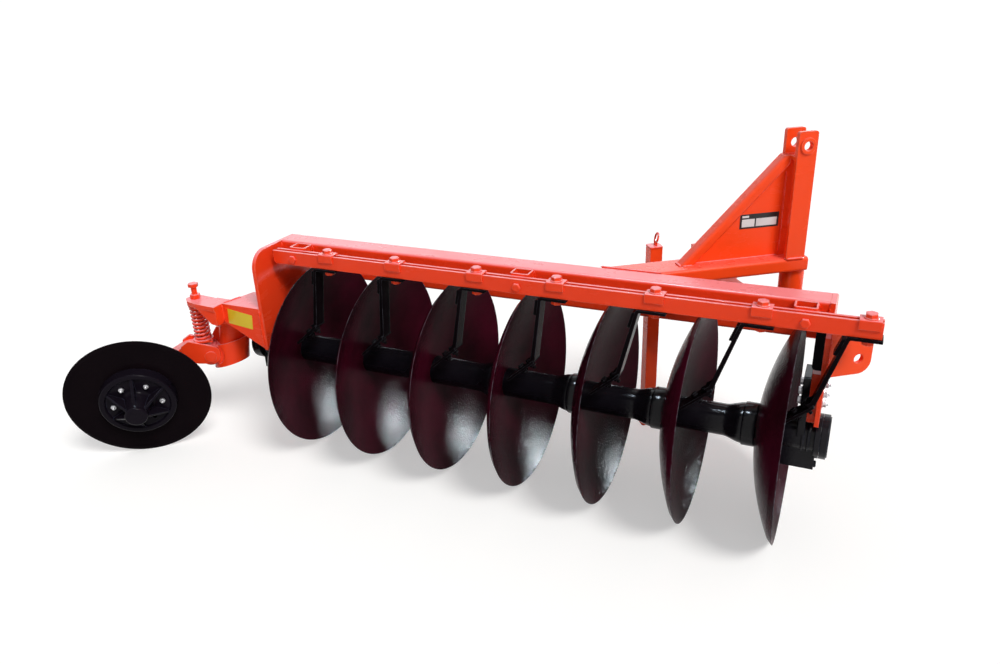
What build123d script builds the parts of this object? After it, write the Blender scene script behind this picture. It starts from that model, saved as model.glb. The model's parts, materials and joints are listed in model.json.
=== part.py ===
from build123d import *
import os
from math import cos, radians, sin, sqrt

# Mounted one-way disc harrow: seven concave discs on one gang shaft, under a welded frame with
# a three-point hitch at its front and a leaning furrow wheel at its rear.
# Millimetres. X runs along the gang shaft towards the front end, Y across the gang towards the
# tractor's side, Z up. The floor is z = 0, and the model is moved at the end so that the origin
# lies on the floor under the centre of the whole machine.

# Discs and their shaft
disc_count = 7
disc_diameter = 610.0
disc_thickness = 6.0
disc_concavity = 80.0
disc_spacing = 247.5
disc_bevel = 15.0
disc_edge = 1.5
shaft_square = 38.0
square_clearance = 0.5
seat_gap = 0.02
spool_waist_radius = 44.0
spool_bell_radius = 60.0
spool_collar_length = 34.0
spool_bell_length = 52.0

disc_radius = disc_diameter / 2
axis_z = disc_radius
concave_radius = (disc_radius ** 2 + disc_concavity ** 2) / (2 * disc_concavity)
convex_radius = concave_radius + disc_thickness
first_rim_x = -disc_spacing * (disc_count - 1) / 2
rim_xs = [first_rim_x + disc_spacing * i for i in range(disc_count)]
square_hole = shaft_square + 2 * square_clearance
axis_plane = Plane(origin=(0, 0, axis_z), x_dir=(1, 0, 0), z_dir=(0, -1, 0))


def box(x0, x1, y0, y1, z0, z1):
    """A block between two corners."""
    return Pos((x0 + x1) / 2, (y0 + y1) / 2, (z0 + z1) / 2) * Box(abs(x1 - x0), abs(y1 - y0), abs(z1 - z0))


def rod(start, end, radius, bore=0.0):
    """A round bar or tube between two points."""
    a = Vector(*start)
    b = Vector(*end)
    length = (b - a).length
    bar = Cylinder(radius, length, align=(Align.CENTER, Align.CENTER, Align.MIN))
    if bore:
        bar -= Cylinder(bore, length, align=(Align.CENTER, Align.CENTER, Align.MIN))
    return Plane(origin=a, z_dir=(b - a).normalized()) * bar


def axis_rod(x0, x1, radius, bore=0.0):
    """A round piece on the gang's axis."""
    return rod((min(x0, x1), 0, axis_z), (max(x0, x1), 0, axis_z), radius, bore)


def outline(points, rounds=()):
    """A flat face from its corners, with some corners rounded, each given as (index, radius)."""
    face = make_face(Polyline(*points, close=True))
    for index, radius in rounds:
        corner = face.vertices().sort_by_distance(Vector(*points[index], 0))[0]
        face = fillet(corner, radius)
    return face


def upright_plate(points, y0, y1, rounds=()):
    """A plate between two distances across the gang, from an outline in (x, z)."""
    start = Plane(origin=(0, y0, 0), x_dir=(1, 0, 0), z_dir=(0, -1, 0))
    return extrude(start * outline(points, rounds), y0 - y1)


def sag(radius, r):
    """How far a sphere of this radius has curved away from its pole at distance r."""
    return radius - sqrt(radius ** 2 - r ** 2)


def make_disc(rim_x):
    """A dished plate with the hollow side to the front and the edge ground on the back."""
    pole = rim_x - disc_concavity
    back = pole - disc_thickness
    mid_r = disc_radius / 2
    bevel_r = disc_radius - disc_bevel
    bevel_x = back + sag(convex_radius, bevel_r)
    inner = ThreePointArc((pole, 0), (pole + sag(concave_radius, mid_r), mid_r), (rim_x, disc_radius))
    edge = Line((rim_x, disc_radius), (rim_x - disc_edge, disc_radius))
    bevel = Line((rim_x - disc_edge, disc_radius), (bevel_x, bevel_r))
    outer = ThreePointArc((bevel_x, bevel_r), (back + sag(convex_radius, mid_r), mid_r), (back, 0))
    closing = Line((back, 0), (pole, 0))
    profile = axis_plane * make_face([inner, edge, bevel, outer, closing])
    dish = revolve(profile, Axis((0, 0, axis_z), (1, 0, 0)))
    return dish - Pos(rim_x, 0, axis_z) * Box(4 * disc_concavity, square_hole, square_hole)


# Spools: waisted castings that hold the discs apart, small end in the hollow, bell on the back
def make_spool(hollow_x, back_x):
    lip = spool_bell_radius - 10
    start = hollow_x + sag(concave_radius, spool_waist_radius) + seat_gap
    end = back_x + sag(convex_radius, lip) - seat_gap
    recess = back_x - 2
    collar = back_x - spool_collar_length
    points = [
        (start, 0), (start, spool_waist_radius), (collar - spool_bell_length, spool_waist_radius),
        (collar, spool_bell_radius - 4), (collar, spool_bell_radius), (end, spool_bell_radius),
        (end, lip), (recess, lip - 4), (recess, 0),
    ]
    profile = axis_plane * outline(points, ((2, 60.0),))
    body = revolve(profile, Axis((0, 0, axis_z), (1, 0, 0)))
    middle = Pos((hollow_x + back_x) / 2, 0, axis_z)
    return body - middle * Box(2 * disc_spacing, square_hole, square_hole)


# Bearings at both ends of the gang: where each housing starts and ends along the shaft
running_clearance = 0.06
bearing_bore_radius = 34.0
bearing_radius = 46.0
bearing_block_drop = 85.0
bearing_block_overlap = 5.5
bearing_block_width = 72.0
bearing_ear_width = 90.0
bearing_ear_thickness = 18.0
bearing_ear_rise = 184.0
right_bearing_gap = 60.0
right_bearing_length = 84.0
left_bearing_gap = 6.0
left_bearing_length = 150.0
ring_radius = 60.0
ring_cavity_radius = 50.0
ring_length = 14.0
cap_length = 20.0
cap_wall = 5.0
shaft_washer_thickness = 6.0
shaft_washer_radius = 42.0
shaft_nut_length = 14.0
shaft_nut_radius = 34.0
sleeve_overhang = 1.5

left_back = rim_xs[0] - disc_concavity - disc_thickness
right_face = rim_xs[-1] - disc_concavity
journal_radius = bearing_bore_radius - running_clearance
right_bearing_x = right_face + right_bearing_gap
right_ring_x = right_bearing_x + right_bearing_length
left_bearing_x = left_back - left_bearing_gap
left_ring_x = left_bearing_x - left_bearing_length


def make_spools():
    """The six spools, and a journal sleeve beside each end disc that turns in its bearing."""
    spools = []
    for i in range(disc_count - 1):
        back_x = rim_xs[i + 1] - disc_concavity - disc_thickness
        spools.append(make_spool(rim_xs[i] - disc_concavity, back_x))
    start = right_face + sag(concave_radius, spool_waist_radius) + seat_gap
    right = axis_rod(start, right_ring_x + sleeve_overhang, journal_radius)
    right += axis_rod(start, right_bearing_x - 6, spool_waist_radius)
    left = axis_rod(left_back - seat_gap, left_ring_x - sleeve_overhang, journal_radius)
    square = Pos(0, 0, axis_z) * Box(4 * disc_count * disc_spacing, square_hole, square_hole)
    for sleeve in (left, right):
        spools.append(sleeve - square)
    return Compound(spools)


def make_shaft():
    """The square shaft, with a washer and a nut inside the ring at each end."""
    half = shaft_square / 2
    left_end = left_ring_x - sleeve_overhang
    right_end = right_ring_x + sleeve_overhang
    bar = box(left_end, right_end, -half, half, axis_z - half, axis_z + half)
    for x, out in ((left_end, -1), (right_end, 1)):
        washer_end = x + out * shaft_washer_thickness
        bar += axis_rod(x, washer_end, shaft_washer_radius)
        nut_place = Plane(origin=(washer_end, 0, axis_z), z_dir=(out, 0, 0))
        bar += nut_place * extrude(RegularPolygon(shaft_nut_radius, 6), shaft_nut_length)
    return bar


def make_bearing(inner_x, ring_x, out, ear_x):
    """A housing: round body, lower block, end ring, and an upright ear bolted to the end plate."""
    half = bearing_ear_width / 2
    low = axis_z - bearing_block_drop
    low_half = bearing_block_width / 2
    ear_top = axis_z + bearing_ear_rise
    housing = axis_rod(inner_x, ring_x, bearing_radius)
    housing += box(inner_x, ring_x + out * bearing_block_overlap, -low_half, low_half, low, axis_z)
    ear = box(ear_x, ear_x + bearing_ear_thickness, -half, half, axis_z, ear_top)
    housing += fillet(ear.edges().filter_by(Axis.X).group_by(Axis.Z)[-1], 8)
    for groove_x in (ring_x - out * 12, ring_x - out * 26):
        housing += axis_rod(groove_x, groove_x - out * 6, bearing_radius + 3)
    housing += axis_rod(ring_x, ring_x + out * ring_length, ring_radius)
    housing -= axis_rod(inner_x - 50, inner_x + 50, bearing_bore_radius)
    housing -= axis_rod(inner_x, ring_x, bearing_bore_radius)
    return housing - axis_rod(ring_x, ring_x + out * (ring_length + 1), ring_cavity_radius)


def make_caps():
    """A round cover over each ring, cupped over the shaft's nut."""
    caps = []
    for ring_x, out in ((left_ring_x, -1), (right_ring_x, 1)):
        start = ring_x + out * (ring_length + 0.5)
        end = start + out * cap_length
        cover = axis_rod(start, end - out * 3, ring_radius)
        cover += axis_rod(end - out * 3, end, ring_radius - 5)
        caps.append(cover - axis_rod(start, end - out * cap_wall, ring_cavity_radius))
    return Compound(caps)


# Gang frame: two long square tubes joined by an upright plate at each end
tube_wall = 6.0
tube_round = 9.0
beam_disc_gap = 16.0
gang_beam_width = 76.0
gang_beam_height = 66.0
gang_beam_near_y = -31.0
front_beam_size = 100.0
front_beam_y = 292.0
front_beam_drop = 142.0
plate_thickness = 12.0
left_plate_gap = 27.5
right_plate_gap = 137.5
left_plate_near_y = -172.0
right_plate_near_y = -66.0
plate_far_y = 404.0
plate_corner = 60.0
plate_foot_rise = 60.0
pad_thickness = 20.0
pad_rise = 198.0

gang_beam_top = disc_diameter + beam_disc_gap + gang_beam_height
gang_beam_bottom = gang_beam_top - gang_beam_height
gang_beam_far_y = gang_beam_near_y + gang_beam_width
front_beam_top = gang_beam_top - front_beam_drop
front_beam_bottom = front_beam_top - front_beam_size
front_beam_far_y = front_beam_y + front_beam_size
left_plate_x = left_back - left_plate_gap
left_inner_x = left_plate_x + plate_thickness
right_plate_x = right_face + right_plate_gap
plate_foot_z = axis_z + plate_foot_rise


def tube_section(width, height, wall):
    """A rectangular tube's section with rounded corners, inside and out."""
    hollow = RectangleRounded(width - 2 * wall, height - 2 * wall, tube_round - wall)
    return RectangleRounded(width, height, tube_round) - hollow


def long_tube(x0, x1, y0, z0, width, height):
    """A hollow tube along X, from its lower near corner."""
    start = Plane(origin=(x0, y0 + width / 2, z0 + height / 2), x_dir=(0, 1, 0), z_dir=(1, 0, 0))
    return extrude(start * tube_section(width, height, tube_wall), x1 - x0)


def end_plate(x0, near_corners, rounds):
    """An end plate from its near corners, with an arm that reaches to the front beam."""
    arm_bottom = front_beam_bottom - 14
    points = near_corners + [
        (gang_beam_far_y - 6, gang_beam_top), (plate_far_y, front_beam_top + 3),
        (plate_far_y, arm_bottom), (front_beam_y - 24, arm_bottom), (96, plate_foot_z),
    ]
    last = len(points)
    far_rounds = ((last - 5, 20.0), (last - 4, 14.0), (last - 3, 14.0), (last - 1, 30.0))
    start = Plane(origin=(x0, 0, 0), x_dir=(0, 1, 0), z_dir=(1, 0, 0))
    return extrude(start * outline(points, rounds + far_rounds), plate_thickness)


def make_left_plate():
    near = left_plate_near_y
    return end_plate(left_plate_x, [(near, plate_foot_z), (near, gang_beam_top)], ((1, plate_corner),))


def make_right_plate():
    """The right plate, stepped back behind the scraper bar, with a pad for the bearing's ear."""
    near = right_plate_near_y
    step = gang_beam_near_y - 3
    corners = [(near, plate_foot_z), (near, bar_bottom - 30), (step, bar_bottom), (step, gang_beam_top)]
    plate = end_plate(right_plate_x, corners, ())
    half = bearing_ear_width / 2
    pad_top = axis_z + pad_rise
    return plate + box(right_plate_x - pad_thickness, right_plate_x, -half, half, plate_foot_z, pad_top)


# Scraper bar: two flats on edge, held off the gang beam by three short upright tubes
bar_height = 42.0
bar_thickness = 8.0
bar_gap = 12.0
bar_drop = 8.0
bar_left_inset = 34.0
bar_right_overhang = 121.0
bracket_width = 56.0
bracket_depth = 46.0
bracket_height = 62.0
bracket_wall = 5.0
bracket_round = 8.0
bracket_left_inset = 104.0
bracket_right_inset = 53.0
clip_length = 50.0
clip_thickness = 5.0
clip_depth = 20.0

bar_top = gang_beam_top - bar_drop
bar_bottom = bar_top - bar_height
bar_far_y = gang_beam_near_y - bracket_depth
bar_near_y = bar_far_y - 2 * bar_thickness - bar_gap
bar_left_x = left_plate_x + bar_left_inset
bar_right_x = right_plate_x + bar_right_overhang
bracket_xs = (left_plate_x + bracket_left_inset, 0.0, right_plate_x - bracket_right_inset)
clip_offsets = (118.5, 107.0, 124.5, 116.0, 138.5, 155.0, 149.5)
clip_xs = [rim_x + offset for rim_x, offset in zip(rim_xs, clip_offsets)]


def make_scraper_bar():
    corners = [
        (bar_left_x, bar_bottom), (bar_right_x, bar_bottom), (bar_right_x, bar_top), (bar_left_x, bar_top),
    ]
    bar = upright_plate(corners, bar_near_y, bar_near_y + bar_thickness, ((0, 14.0),))
    bar += upright_plate(corners, bar_far_y - bar_thickness, bar_far_y, ((0, 14.0),))
    inner_near, inner_far = bar_near_y + bar_thickness, bar_far_y - bar_thickness
    for x in bracket_xs:
        bar += box(x - 16, x + 16, inner_near, inner_far, bar_bottom + 8, bar_top - 8)
    return bar


def make_bar_brackets():
    bottom = gang_beam_top - bracket_height
    inner_round = bracket_round - bracket_wall
    outer = RectangleRounded(bracket_width, bracket_depth, bracket_round)
    hollow = RectangleRounded(bracket_width - 2 * bracket_wall, bracket_depth - 2 * bracket_wall, inner_round)
    tube = extrude(outer - hollow, bracket_height - 2)
    middle_y = gang_beam_near_y - bracket_depth / 2
    return Compound([Pos(x, middle_y, bottom) * tube for x in bracket_xs])


def make_clips():
    """Short caps folded over both flats, one above each scraper."""
    clips = []
    for x in clip_xs:
        x0, x1 = x - clip_length / 2, x + clip_length / 2
        y0, y1 = bar_near_y - clip_thickness, bar_far_y + clip_thickness
        cap = box(x0, x1, y0, y1, bar_top - clip_depth, bar_top + clip_thickness)
        cap = fillet(cap.edges().filter_by(Axis.X).group_by(Axis.Z)[-1], 4)
        clips.append(cap - box(x0, x1, bar_near_y, bar_far_y, bar_top - clip_depth, bar_top))
    return Compound(clips)


# Scrapers: a foot under the bar, a leg down past the disc, and a blade across its hollow
scraper_width = 40.0
scraper_thickness = 8.0
blade_width = 50.0
blade_length = 110.0
knee_forward = 52.0
knee_rise = 147.0
clamp_length = 48.0
scraper_y = (bar_near_y + bar_far_y) / 2


def make_scraper(rim_x, clip_x):
    t = scraper_thickness
    near, far = scraper_y - scraper_width / 2, scraper_y + scraper_width / 2
    foot_z = bar_bottom
    bend_x, bend_z = clip_x - 42, foot_z - t
    knee_x, knee_z = rim_x + knee_forward, axis_z + knee_rise
    run, drop = bend_x - knee_x, bend_z - knee_z
    slope = sqrt(run ** 2 + drop ** 2)
    side_x, side_z = t * drop / slope, t * run / slope
    blade_x, blade_z = -cos(radians(42)) * blade_length, -sin(radians(42)) * blade_length
    strap = [
        (clip_x + 32, foot_z), (bend_x - side_x / 2, foot_z), (knee_x - side_x, knee_z + side_z),
        (knee_x - side_x - 12, knee_z - 6), (knee_x - 7, knee_z - 15), (knee_x + 3, knee_z - 5),
        (bend_x + side_x / 2, bend_z), (clip_x + 32, bend_z),
    ]
    scraper = upright_plate(strap, near, far, ((1, 9.0), (6, 4.0)))
    clamp_run, clamp_drop = clamp_length * run / slope, clamp_length * drop / slope
    clamp_x, clamp_back = bend_x - side_x / 2, bend_x - 1.9 * side_x
    clamp = [
        (clamp_x, bend_z), (clamp_x - clamp_run, bend_z - clamp_drop),
        (clamp_back - clamp_run, bend_z - clamp_drop + side_z), (clamp_back, bend_z - 3),
    ]
    scraper += upright_plate(clamp, near + 4, far - 4)
    tip_x, tip_z = knee_x + blade_x, knee_z + blade_z
    blade = [(knee_x, knee_z - 2), (tip_x, tip_z), (tip_x + 5, tip_z - 5), (knee_x + 3, knee_z - 9)]
    return scraper + upright_plate(blade, scraper_y - blade_width / 2, scraper_y + blade_width / 2)


def make_scrapers():
    return Compound([make_scraper(rim_x, clip_x) for rim_x, clip_x in zip(rim_xs, clip_xs)])


# Strap: a short black flat that hangs inside the right end plate, over the bearing's pad
strap_width = 23.0
strap_thickness = 20.0
strap_gap = 17.0


def make_end_strap():
    low = axis_z + pad_rise + strap_gap
    x0, x1 = right_plate_x - strap_width, right_plate_x
    corners = [(x0, low), (x1, low), (x1, bar_bottom + 8), (x0, bar_bottom + 8)]
    near = right_plate_near_y + 8
    return upright_plate(corners, near, near + strap_thickness, ((0, 9.0),))


# Hitch: everything on it lies along the travel, which stands askew to the gang
hitch_angle = 36.0
arm_width = 100.0
arm_height = 40.0
arm_near = -179.0
arm_root = 100.0
arm_end = 760.0
post_radius = 34.0
post_wall = 6.0
post_along = 744.0
travel = (cos(radians(hitch_angle)), sin(radians(hitch_angle)))
left_side = (-travel[1], travel[0])
arm_middle = arm_near + arm_width / 2


def hitch_place(along, across, z):
    """A place in the hitch's own directions: along the travel, across to the left, and up."""
    x = travel[0] * along + left_side[0] * across
    y = travel[1] * along + left_side[1] * across
    return Location((x, y, z), (0, 0, hitch_angle))


def hitch_point(along, across, z):
    """The same place as a point."""
    return tuple(hitch_place(along, across, z).position)


def hitch_box(a0, a1, n0, n1, z0, z1):
    """A block in the hitch's directions."""
    middle = hitch_place((a0 + a1) / 2, (n0 + n1) / 2, (z0 + z1) / 2)
    return middle * Box(abs(a1 - a0), abs(n1 - n0), abs(z1 - z0))


def hitch_plate(points, n0, n1, rounds=()):
    """A plate between two distances across the hitch, from an outline in (along, z)."""
    x, y = left_side[0] * n0, left_side[1] * n0
    normal = (-left_side[0], -left_side[1], 0)
    start = Plane(origin=(x, y, 0), x_dir=(travel[0], travel[1], 0), z_dir=normal)
    return extrude(start * outline(points, rounds), n0 - n1)


def make_hitch_arm():
    """A flat-lying tube from the gang beam, closed at its free end."""
    start = Plane(
        origin=hitch_point(arm_root, arm_middle, gang_beam_top - arm_height / 2),
        x_dir=(left_side[0], left_side[1], 0), z_dir=(travel[0], travel[1], 0),
    )
    length = arm_end - arm_root
    inner = RectangleRounded(arm_width - 2 * tube_wall, arm_height - 2 * tube_wall, tube_round - tube_wall)
    arm = extrude(start * RectangleRounded(arm_width, arm_height, tube_round), length)
    arm -= extrude(start * inner, length - tube_wall)
    return arm - box(-2000, 2000, -2000, gang_beam_far_y, 0, 2 * gang_beam_top)


def make_post():
    top = hitch_point(post_along, arm_middle, gang_beam_top - arm_height)
    foot = (top[0], top[1], front_beam_top)
    return rod(foot, top, post_radius, post_radius - post_wall)


# Lower link lugs: pairs of plates with one hole through both
link_half_spread = 344.0
link_gap = 50.0
link_plate = 12.0
link_hole_along = 708.0
link_hole_drop = 6.0
link_hole_radius = 12.8
link_nose = 36.0
link_drop = 42.0
link_rise = 76.0
link_nose_round = 34.0
link_setback = 168.0
link_arm_front = 37.0
link_arm_size = 60.0
link_arm_rise = 12.0
link_arm_root = -260.0
mast_plate_thickness = 12.0
mast_gap = 50.0

link_hole_z = front_beam_top - link_hole_drop
link_bottom = link_hole_z - link_drop
mast_middle = arm_near + mast_plate_thickness + mast_gap / 2


def lug_plate(across, back_along):
    front = link_hole_along + link_nose
    top = link_hole_z + link_rise
    points = [(back_along, link_bottom), (front, link_bottom), (front, top), (back_along, top)]
    return hitch_plate(points, across, across + link_plate, ((1, link_nose_round), (2, 12.0)))


def link_pin_space(middle):
    reach = link_gap / 2 + link_plate + 40
    start = hitch_point(link_hole_along, middle - reach, link_hole_z)
    end = hitch_point(link_hole_along, middle + reach, link_hole_z)
    return rod(start, end, link_hole_radius)


def make_right_lug():
    """Two plates that stand out from the right end plate."""
    middle = mast_middle - link_half_spread
    outside = box(right_plate_x + plate_thickness, 4000, -2000, 2000, 0, 4000)
    plates = []
    for across in (middle - link_gap / 2 - link_plate, middle + link_gap / 2):
        plates.append((lug_plate(across, link_hole_along - link_setback) & outside) - link_pin_space(middle))
    return Compound(plates)


link_arm_end = link_hole_along - link_arm_front
link_arm_start = link_arm_end - link_arm_size


def make_left_lug():
    """Two plates joined by a web, at the end of the stub tube."""
    middle = mast_middle + link_half_spread
    near, far = middle - link_gap / 2, middle + link_gap / 2
    web = hitch_box(link_arm_start - 6, link_arm_end - 14, near, far, link_bottom, front_beam_top)
    lug = lug_plate(near - link_plate, link_arm_start - 10) + lug_plate(far, link_arm_start - 10) + web
    return lug - link_pin_space(middle)


def make_left_link_arm():
    """The stub tube that carries the left lug out from the front beam."""
    near = mast_middle + link_half_spread - link_gap / 2 - link_plate
    middle_z = front_beam_top + link_arm_rise - link_arm_size / 2
    start = Plane(
        origin=hitch_point((link_arm_start + link_arm_end) / 2, link_arm_root, middle_z),
        x_dir=(travel[0], travel[1], 0), z_dir=(left_side[0], left_side[1], 0),
    )
    stub = extrude(start * tube_section(link_arm_size, link_arm_size, tube_wall), near - link_arm_root)
    return stub - box(-2000, 2000, -2000, front_beam_far_y, 0, 4000)


# Mast: two upright plates on the hitch arm with one hole through both for the top link
mast_width = 56.0
mast_rise = 460.0
mast_hole_drop = 38.0
mast_hole_along = 718.0
mast_hole_radius = 12.8
mast_boss = 5.0
mast_hole_z = link_hole_z + mast_rise
mast_top = mast_hole_z + mast_hole_drop
mast_back = mast_hole_along - mast_width / 2
mast_front = mast_hole_along + mast_width / 2
mast_near = arm_near + mast_plate_thickness
mast_far = mast_near + mast_gap

# Brace: a sloping tube from the arm up to the mast, with a plate that fills the triangle under it
brace_low_along = 393.0
brace_width = 40.0
brace_depth = 29.0
brace_top_drop = 28.0
brace_inset = 12.0
gusset_thickness = 8.0
tie_thickness = 10.0
brace_top_z = mast_hole_z - brace_top_drop
brace_middle = mast_far - brace_inset
tie_low_z = brace_top_z - tie_thickness
brace_rise = brace_top_z - gang_beam_top
brace_run = mast_back - 13 - brace_low_along
brace_length = sqrt(brace_rise ** 2 + brace_run ** 2)
brace_up = (brace_run / brace_length, brace_rise / brace_length)
brace_foot = brace_depth / brace_up[1]


def make_mast():
    outer = mast_far + mast_plate_thickness
    foot = gang_beam_top
    corners = [(mast_back, foot), (mast_front, foot), (mast_front, mast_top), (mast_back, mast_top)]
    rounds = ((2, 7.0), (3, 7.0))
    mast = hitch_plate(corners, arm_near, mast_near, rounds) + hitch_plate(corners, mast_far, outer, rounds)
    mast += hitch_box(mast_back, mast_front - 8, mast_near, mast_far, tie_low_z, brace_top_z)
    for a, b in ((arm_near - mast_boss, mast_near), (mast_far, outer + mast_boss)):
        start = hitch_point(mast_hole_along, a, mast_hole_z)
        mast += rod(start, hitch_point(mast_hole_along, b, mast_hole_z), mast_hole_radius + 9)
    start = hitch_point(mast_hole_along, arm_near - 30, mast_hole_z)
    return mast - rod(start, hitch_point(mast_hole_along, outer + 30, mast_hole_z), mast_hole_radius)


def make_brace():
    middle = brace_depth / 2
    x = brace_low_along + middle * brace_up[1] - 80 * brace_up[0]
    z = gang_beam_top - middle * brace_up[0] - 80 * brace_up[1]
    slope = Vector(travel[0] * brace_up[0], travel[1] * brace_up[0], brace_up[1])
    start = Plane(origin=hitch_point(x, brace_middle, z), x_dir=(left_side[0], left_side[1], 0), z_dir=slope)
    tube = extrude(start * RectangleRounded(brace_width, brace_depth, tube_round), 2 * brace_length)
    near, far = brace_middle - brace_width, brace_middle + brace_width
    return tube & hitch_box(brace_low_along - brace_width, mast_back, near, far, gang_beam_top, brace_top_z)


def make_gusset():
    low = brace_low_along + brace_foot
    meet_z = gang_beam_top + (mast_back - low) * brace_up[1] / brace_up[0]
    end = mast_front - 26
    inside = mast_back + 0.5
    points = [
        (low, gang_beam_top), (end, gang_beam_top), (end, tie_low_z), (inside, tie_low_z), (inside, meet_z),
    ]
    return hitch_plate(points, brace_middle - gusset_thickness / 2, brace_middle + gusset_thickness / 2)


# Parking stand: a square leg in a square sleeve on the front beam
stand_size = 40.0
stand_wall = 4.0
stand_x = 252.0
stand_reach = 40.0
stand_above = 87.0
stand_foot = 56.0
stand_foot_thickness = 8.0
sleeve_clearance = 0.6
sleeve_wall = 5.0
sleeve_above = 10.0
sleeve_below = 20.0
stand_y = front_beam_far_y + stand_reach
stand_top = front_beam_top + stand_above
sleeve_top = front_beam_top + sleeve_above
sleeve_bottom = front_beam_bottom - sleeve_below


def stand_place(z):
    return Location((stand_x, stand_y, z), (0, 0, hitch_angle))


def make_stand_sleeve():
    bore = stand_size + 2 * sleeve_clearance
    size = bore + 2 * sleeve_wall
    height = sleeve_top - sleeve_bottom
    middle = (sleeve_top + sleeve_bottom) / 2
    sleeve = stand_place(middle) * Box(size, size, height)
    low, high = sleeve_bottom + 30, front_beam_top - 10
    sleeve += box(stand_x - 30, stand_x + 30, front_beam_far_y, stand_y, low, high)
    return sleeve - stand_place(middle) * Box(bore, bore, 2 * height)


def make_stand_leg():
    height = stand_top - stand_foot_thickness
    inner = stand_size - 2 * stand_wall
    leg = Box(stand_size, stand_size, height) - Box(inner, inner, height - 2 * stand_wall)
    leg = stand_place(stand_foot_thickness + height / 2) * leg
    foot = extrude(RectangleRounded(stand_foot, stand_foot, 6), stand_foot_thickness)
    return leg + stand_place(0) * foot


# Furrow wheel: a flat disc on a ribbed hub, leaning, turning on an axle
wheel_radius = 224.0
pivot_beyond_plate = 199.8
pivot_y = -221.85
pivot_reach = 237.0
wheel_yaw = -51.0
wheel_lean = 11.6
wheel_disc_thickness = 8.0
hub_ring_radius = 120.0
hub_ring_height = 34.0
hub_floor_height = 26.0
hub_barrel_radius = 46.0
hub_barrel_wall = 24.0
hub_cap_radius = 32.0
hub_cap_height = 104.0
hub_back_length = 24.0
hub_bolt_circle = 74.0
hub_bolt_radius = 6.5
hub_rib_thickness = 8.0
empty_bolt_angle = -60.0
hub_cavity = 60.0
axle_radius = 20.0

lean = radians(wheel_lean)
yaw = radians(wheel_yaw)
wheel_out = (cos(lean) * cos(yaw), cos(lean) * sin(yaw), -sin(lean))
pivot_x = left_plate_x - pivot_beyond_plate
wheel_mid = (
    pivot_x + sin(yaw) * pivot_reach, pivot_y - cos(yaw) * pivot_reach, wheel_radius * cos(lean),
)
wheel_plane = Plane(origin=wheel_mid, x_dir=(-sin(yaw), cos(yaw), 0), z_dir=wheel_out)
wheel_half = wheel_disc_thickness / 2
hub_bore = axle_radius + running_clearance
hub_barrel = hub_bore + hub_barrel_wall


def wheel_turned(points, rounds=()):
    """A body turned about the wheel's axle, from an outline in (radius, distance outward)."""
    face = Plane.XZ * outline(points, rounds)
    return wheel_plane * revolve(face, Axis.Z)


def on_bolt_circle(angle):
    return Pos(hub_bolt_circle * cos(radians(angle)), hub_bolt_circle * sin(radians(angle)), 0)


def wheel_drum(radius, low, high):
    """A round piece on the wheel's axle between two distances outward."""
    start = Pos(0, 0, low)
    return wheel_plane * start * Cylinder(radius, high - low, align=(Align.CENTER, Align.CENTER, Align.MIN))


def make_wheel():
    disc = wheel_turned([
        (hub_barrel + 0.1, -wheel_half), (wheel_radius - 10, -wheel_half), (wheel_radius, -1),
        (wheel_radius, 1), (wheel_radius - 10, wheel_half), (hub_barrel + 0.1, wheel_half),
    ])
    return disc - wheel_plane * on_bolt_circle(empty_bolt_angle) * Cylinder(hub_bolt_radius, 10 * wheel_half)


def make_hub():
    """A dished casting: outer ring, floor with six ribs, and a tapered barrel under a round cap."""
    top = wheel_half + hub_ring_height
    floor = wheel_half + hub_floor_height
    seat = hub_cap_height - 14
    hub = wheel_turned([
        (hub_bore, -hub_back_length), (hub_barrel, -hub_back_length), (hub_barrel, wheel_half),
        (hub_ring_radius, wheel_half), (hub_ring_radius - 3, top), (hub_ring_radius - 19, top),
        (hub_ring_radius - 25, floor), (hub_barrel_radius, floor), (hub_cap_radius, seat), (0, seat),
        (0, hub_cavity), (hub_bore, hub_cavity),
    ], ((4, 7.0), (5, 5.0), (7, 12.0)))
    cap_edge = hub_cap_radius + 3
    cap = [(0, seat), (cap_edge, seat), (cap_edge, hub_cap_height), (0, hub_cap_height)]
    hub += wheel_turned(cap, ((2, 8.0),))
    rib_end = hub_ring_radius - 20
    rib_points = [
        (hub_cap_radius - 4, floor - 2), (rib_end, floor - 2), (rib_end, floor + 4),
        (hub_cap_radius + 2, hub_cap_height - 20), (hub_cap_radius - 4, hub_cap_height - 20),
    ]
    rib_start = Plane(origin=(0, -hub_rib_thickness / 2, 0), x_dir=(1, 0, 0), z_dir=(0, -1, 0))
    rib = extrude(rib_start * outline(rib_points), -hub_rib_thickness)
    for i in range(6):
        hub += wheel_plane * Rot(0, 0, empty_bolt_angle + 30 + 60 * i) * rib
    return hub - wheel_plane * on_bolt_circle(empty_bolt_angle) * Cylinder(hub_bolt_radius, 4 * hub_cavity)


# Wheel lever: a two-cheeked arm that swings the wheel up and down on a level pin behind it
lever_offset = 55.0
lever_gap = 46.0
cheek_thickness = 12.0
cheek_round = 31.0
lever_rise = 86.0
pivot_pin_radius = 19.0
pivot_boss_radius = 36.0
pin_z = wheel_mid[2] + lever_rise
front_out = -lever_offset
back_out = -lever_offset - 2 * cheek_thickness - lever_gap
lever_mid_out = (front_out + back_out) / 2
lever_plane = Plane(
    origin=(wheel_mid[0], wheel_mid[1], 0),
    x_dir=(-sin(yaw), cos(yaw), 0), z_dir=(cos(yaw), sin(yaw), 0),
)

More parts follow.
